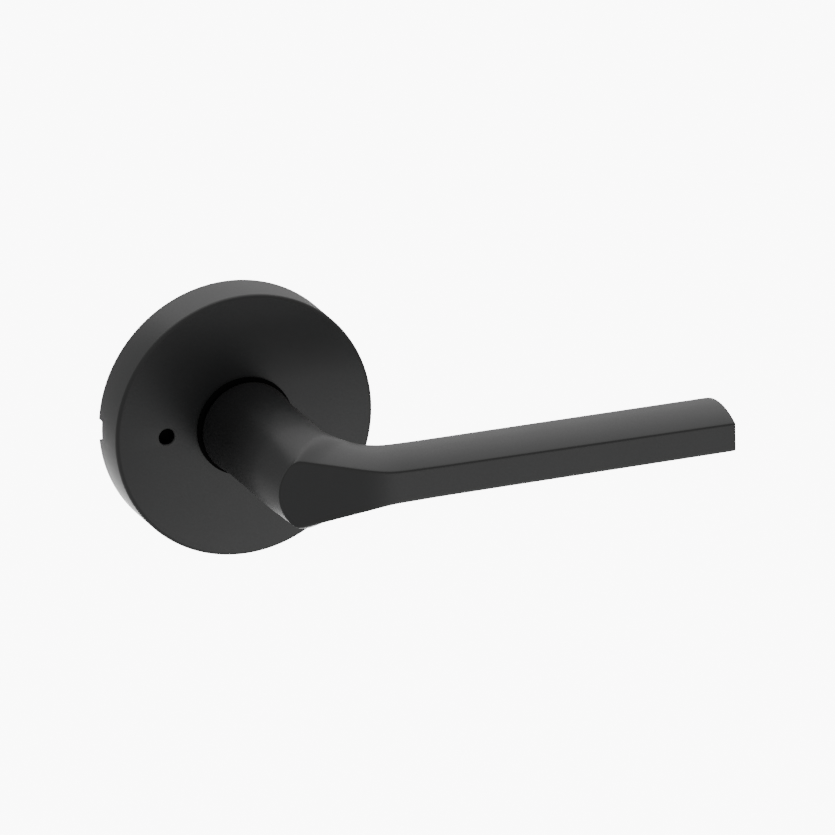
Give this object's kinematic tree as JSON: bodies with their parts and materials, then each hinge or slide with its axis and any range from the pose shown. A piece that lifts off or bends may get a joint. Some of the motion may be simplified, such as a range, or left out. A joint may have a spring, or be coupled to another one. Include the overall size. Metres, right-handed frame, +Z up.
{
  "type": "privacy door lever handle",
  "caption": "Outside half of a privacy door lever: round rose with release pinhole, round neck cut by a slanting facet, slim flat-fronted grip, sprung spindle behind.",
  "frame": {"origin": "where the spindle's axis meets the door's outside face, which is also the plane of the rose's back rim", "axes": "+X along the lever at rest, +Y into the door along the spindle, +Z up; the handle points towards -Y"},
  "size_m": [0.1392, 0.1159, 0.0666],
  "materials": {
    "black_coat": "fine satin-matte black coating over die-cast zinc and pressed steel",
    "black_nylon": "moulded black nylon",
    "white_nylon": "moulded natural nylon",
    "zinc_steel": "bright zinc-plated steel",
    "spring_steel": "oiled dark spring steel"
  },
  "bodies": {
    "rose": {"rose_cover": "black_coat", "neck_collar": "black_nylon", "thrust_washer": "spring_steel", "mounting_plate": "zinc_steel", "spring_anchor_pin": "zinc_steel", "travel_stop_upper": "zinc_steel", "travel_stop_lower": "zinc_steel", "spindle_bush": "white_nylon", "through_bolt_post_upper": "zinc_steel", "through_bolt_post_lower": "zinc_steel", "cover_clip_1": "spring_steel", "cover_clip_2": "spring_steel", "cover_clip_3": "spring_steel", "cover_clip_screw_1": "zinc_steel", "cover_clip_screw_2": "zinc_steel", "cover_clip_screw_3": "zinc_steel", "release_guide": "white_nylon", "return_spring": "spring_steel", "release_spring": "spring_steel"},
    "lever": {"lever": "black_coat", "spindle_tube": "zinc_steel", "latch_spindle": "zinc_steel", "cross_pin": "spring_steel", "set_screw": "spring_steel", "drive_cam": "zinc_steel", "retaining_washer": "spring_steel", "retaining_ring": "spring_steel"},
    "release": {"release_pin": "black_nylon", "release_pin_clip": "spring_steel"}
  },
  "joints": [
    {"name": "lever_turn", "type": "hinge", "parent": "rose", "child": "lever", "pos_m": [0, 0, 0], "axis": [0, 1, 0], "range_deg": [-45, 45], "stiffness_Nm_per_rad": 2, "springref_deg": -2.35, "deforming": ["return_spring"]},
    {"name": "release_push", "type": "slide", "parent": "rose", "child": "release", "axis": [0, 1, 0], "range_m": [0, 0.0035], "stiffness_N_per_m": 200, "springref_m": -0.003, "deforming": ["release_spring"]}
  ]
}
